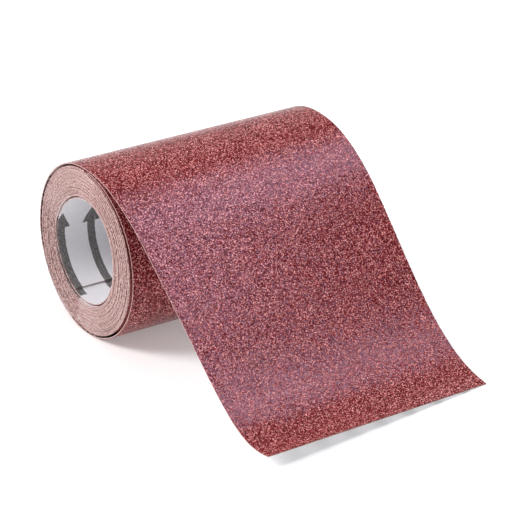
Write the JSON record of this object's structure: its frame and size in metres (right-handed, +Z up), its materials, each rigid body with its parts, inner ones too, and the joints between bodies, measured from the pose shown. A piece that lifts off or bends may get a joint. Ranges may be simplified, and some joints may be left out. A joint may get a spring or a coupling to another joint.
{
  "type": "abrasive paper roll",
  "caption": "Coreless roll of red-brown abrasive paper on a bench, its free end leaving the top and draping down to lie flat in front.",
  "frame": {"origin": "on the bench, under the middle of the roll", "axes": "+X along the roll's axis, +Y away from the free end, +Z up"},
  "size_m": [0.1194, 0.1785, 0.0749],
  "materials": {
    "backing_paper": "matte",
    "abrasive_coat": "rough grit with small bright sparkles"
  },
  "bodies": {
    "outer_wrap": {"outer_wrap_backing": "backing_paper", "outer_wrap_abrasive": "abrasive_coat"},
    "wound_pack": {"backing_coil": "backing_paper", "abrasive_coil": "abrasive_coat"},
    "inner_end": {"inner_end_backing": "backing_paper", "inner_end_abrasive": "abrasive_coat"},
    "tail_1": {"tail_1_backing": "backing_paper", "tail_1_abrasive": "abrasive_coat"},
    "tail_2": {"tail_2_backing": "backing_paper", "tail_2_abrasive": "abrasive_coat"},
    "tail_3": {"tail_3_backing": "backing_paper", "tail_3_abrasive": "abrasive_coat"},
    "tail_4": {"tail_4_backing": "backing_paper", "tail_4_abrasive": "abrasive_coat"},
    "tail_5": {"tail_5_backing": "backing_paper", "tail_5_abrasive": "abrasive_coat"},
    "tail_6": {"tail_6_backing": "backing_paper", "tail_6_abrasive": "abrasive_coat"}
  },
  "joints": [
    {"name": "pack_turn", "type": "hinge", "parent": "outer_wrap", "child": "wound_pack", "pos_m": [0, 0.00025, 0.03724], "axis": [1, 0, 0], "continuous": true},
    {"name": "inner_end_lift", "type": "hinge", "parent": "wound_pack", "child": "inner_end", "pos_m": [0, 0.02302, 0.03708], "axis": [-1, 0, 0], "range_deg": [0, 35], "stiffness_Nm_per_rad": 0.1},
    {"name": "tail_lift", "type": "hinge", "parent": "outer_wrap", "child": "tail_1", "pos_m": [0, -0.01767, 0.07211], "axis": [-1, -0.008, -0.0006], "range_deg": [0, 18], "stiffness_Nm_per_rad": 0.15},
    {"name": "tail_lift_2", "type": "hinge", "parent": "tail_1", "child": "tail_2", "pos_m": [-0.00002, -0.03795, 0.06123], "axis": [-0.9998, -0.0206, 0.0003], "range_deg": [0, 18], "stiffness_Nm_per_rad": 0.15},
    {"name": "tail_lift_3", "type": "hinge", "parent": "tail_2", "child": "tail_3", "pos_m": [-0.00045, -0.05595, 0.04675], "axis": [-0.999, -0.0426, 0.011], "range_deg": [0, 18], "stiffness_Nm_per_rad": 0.15},
    {"name": "tail_curl", "type": "hinge", "parent": "tail_3", "child": "tail_4", "pos_m": [-0.00111, -0.07371, 0.03196], "axis": [-0.9973, -0.0683, 0.0259], "range_deg": [0, 20], "stiffness_Nm_per_rad": 0.15},
    {"name": "tail_curl_2", "type": "hinge", "parent": "tail_4", "child": "tail_5", "pos_m": [-0.002, -0.09191, 0.01764], "axis": [-0.9958, -0.086, 0.0321], "range_deg": [0, 20], "stiffness_Nm_per_rad": 0.15},
    {"name": "tail_curl_3", "type": "hinge", "parent": "tail_5", "child": "tail_6", "pos_m": [-0.00311, -0.11206, 0.00622], "axis": [-0.9951, -0.0954, 0.0279], "range_deg": [0, 20], "stiffness_Nm_per_rad": 0.15}
  ],
  "couplings": [
    {"joint": "tail_lift_2", "follows": "tail_lift", "ratio": 1},
    {"joint": "tail_lift_3", "follows": "tail_lift", "ratio": 1},
    {"joint": "tail_curl_2", "follows": "tail_curl", "ratio": 1},
    {"joint": "tail_curl_3", "follows": "tail_curl", "ratio": 1}
  ]
}
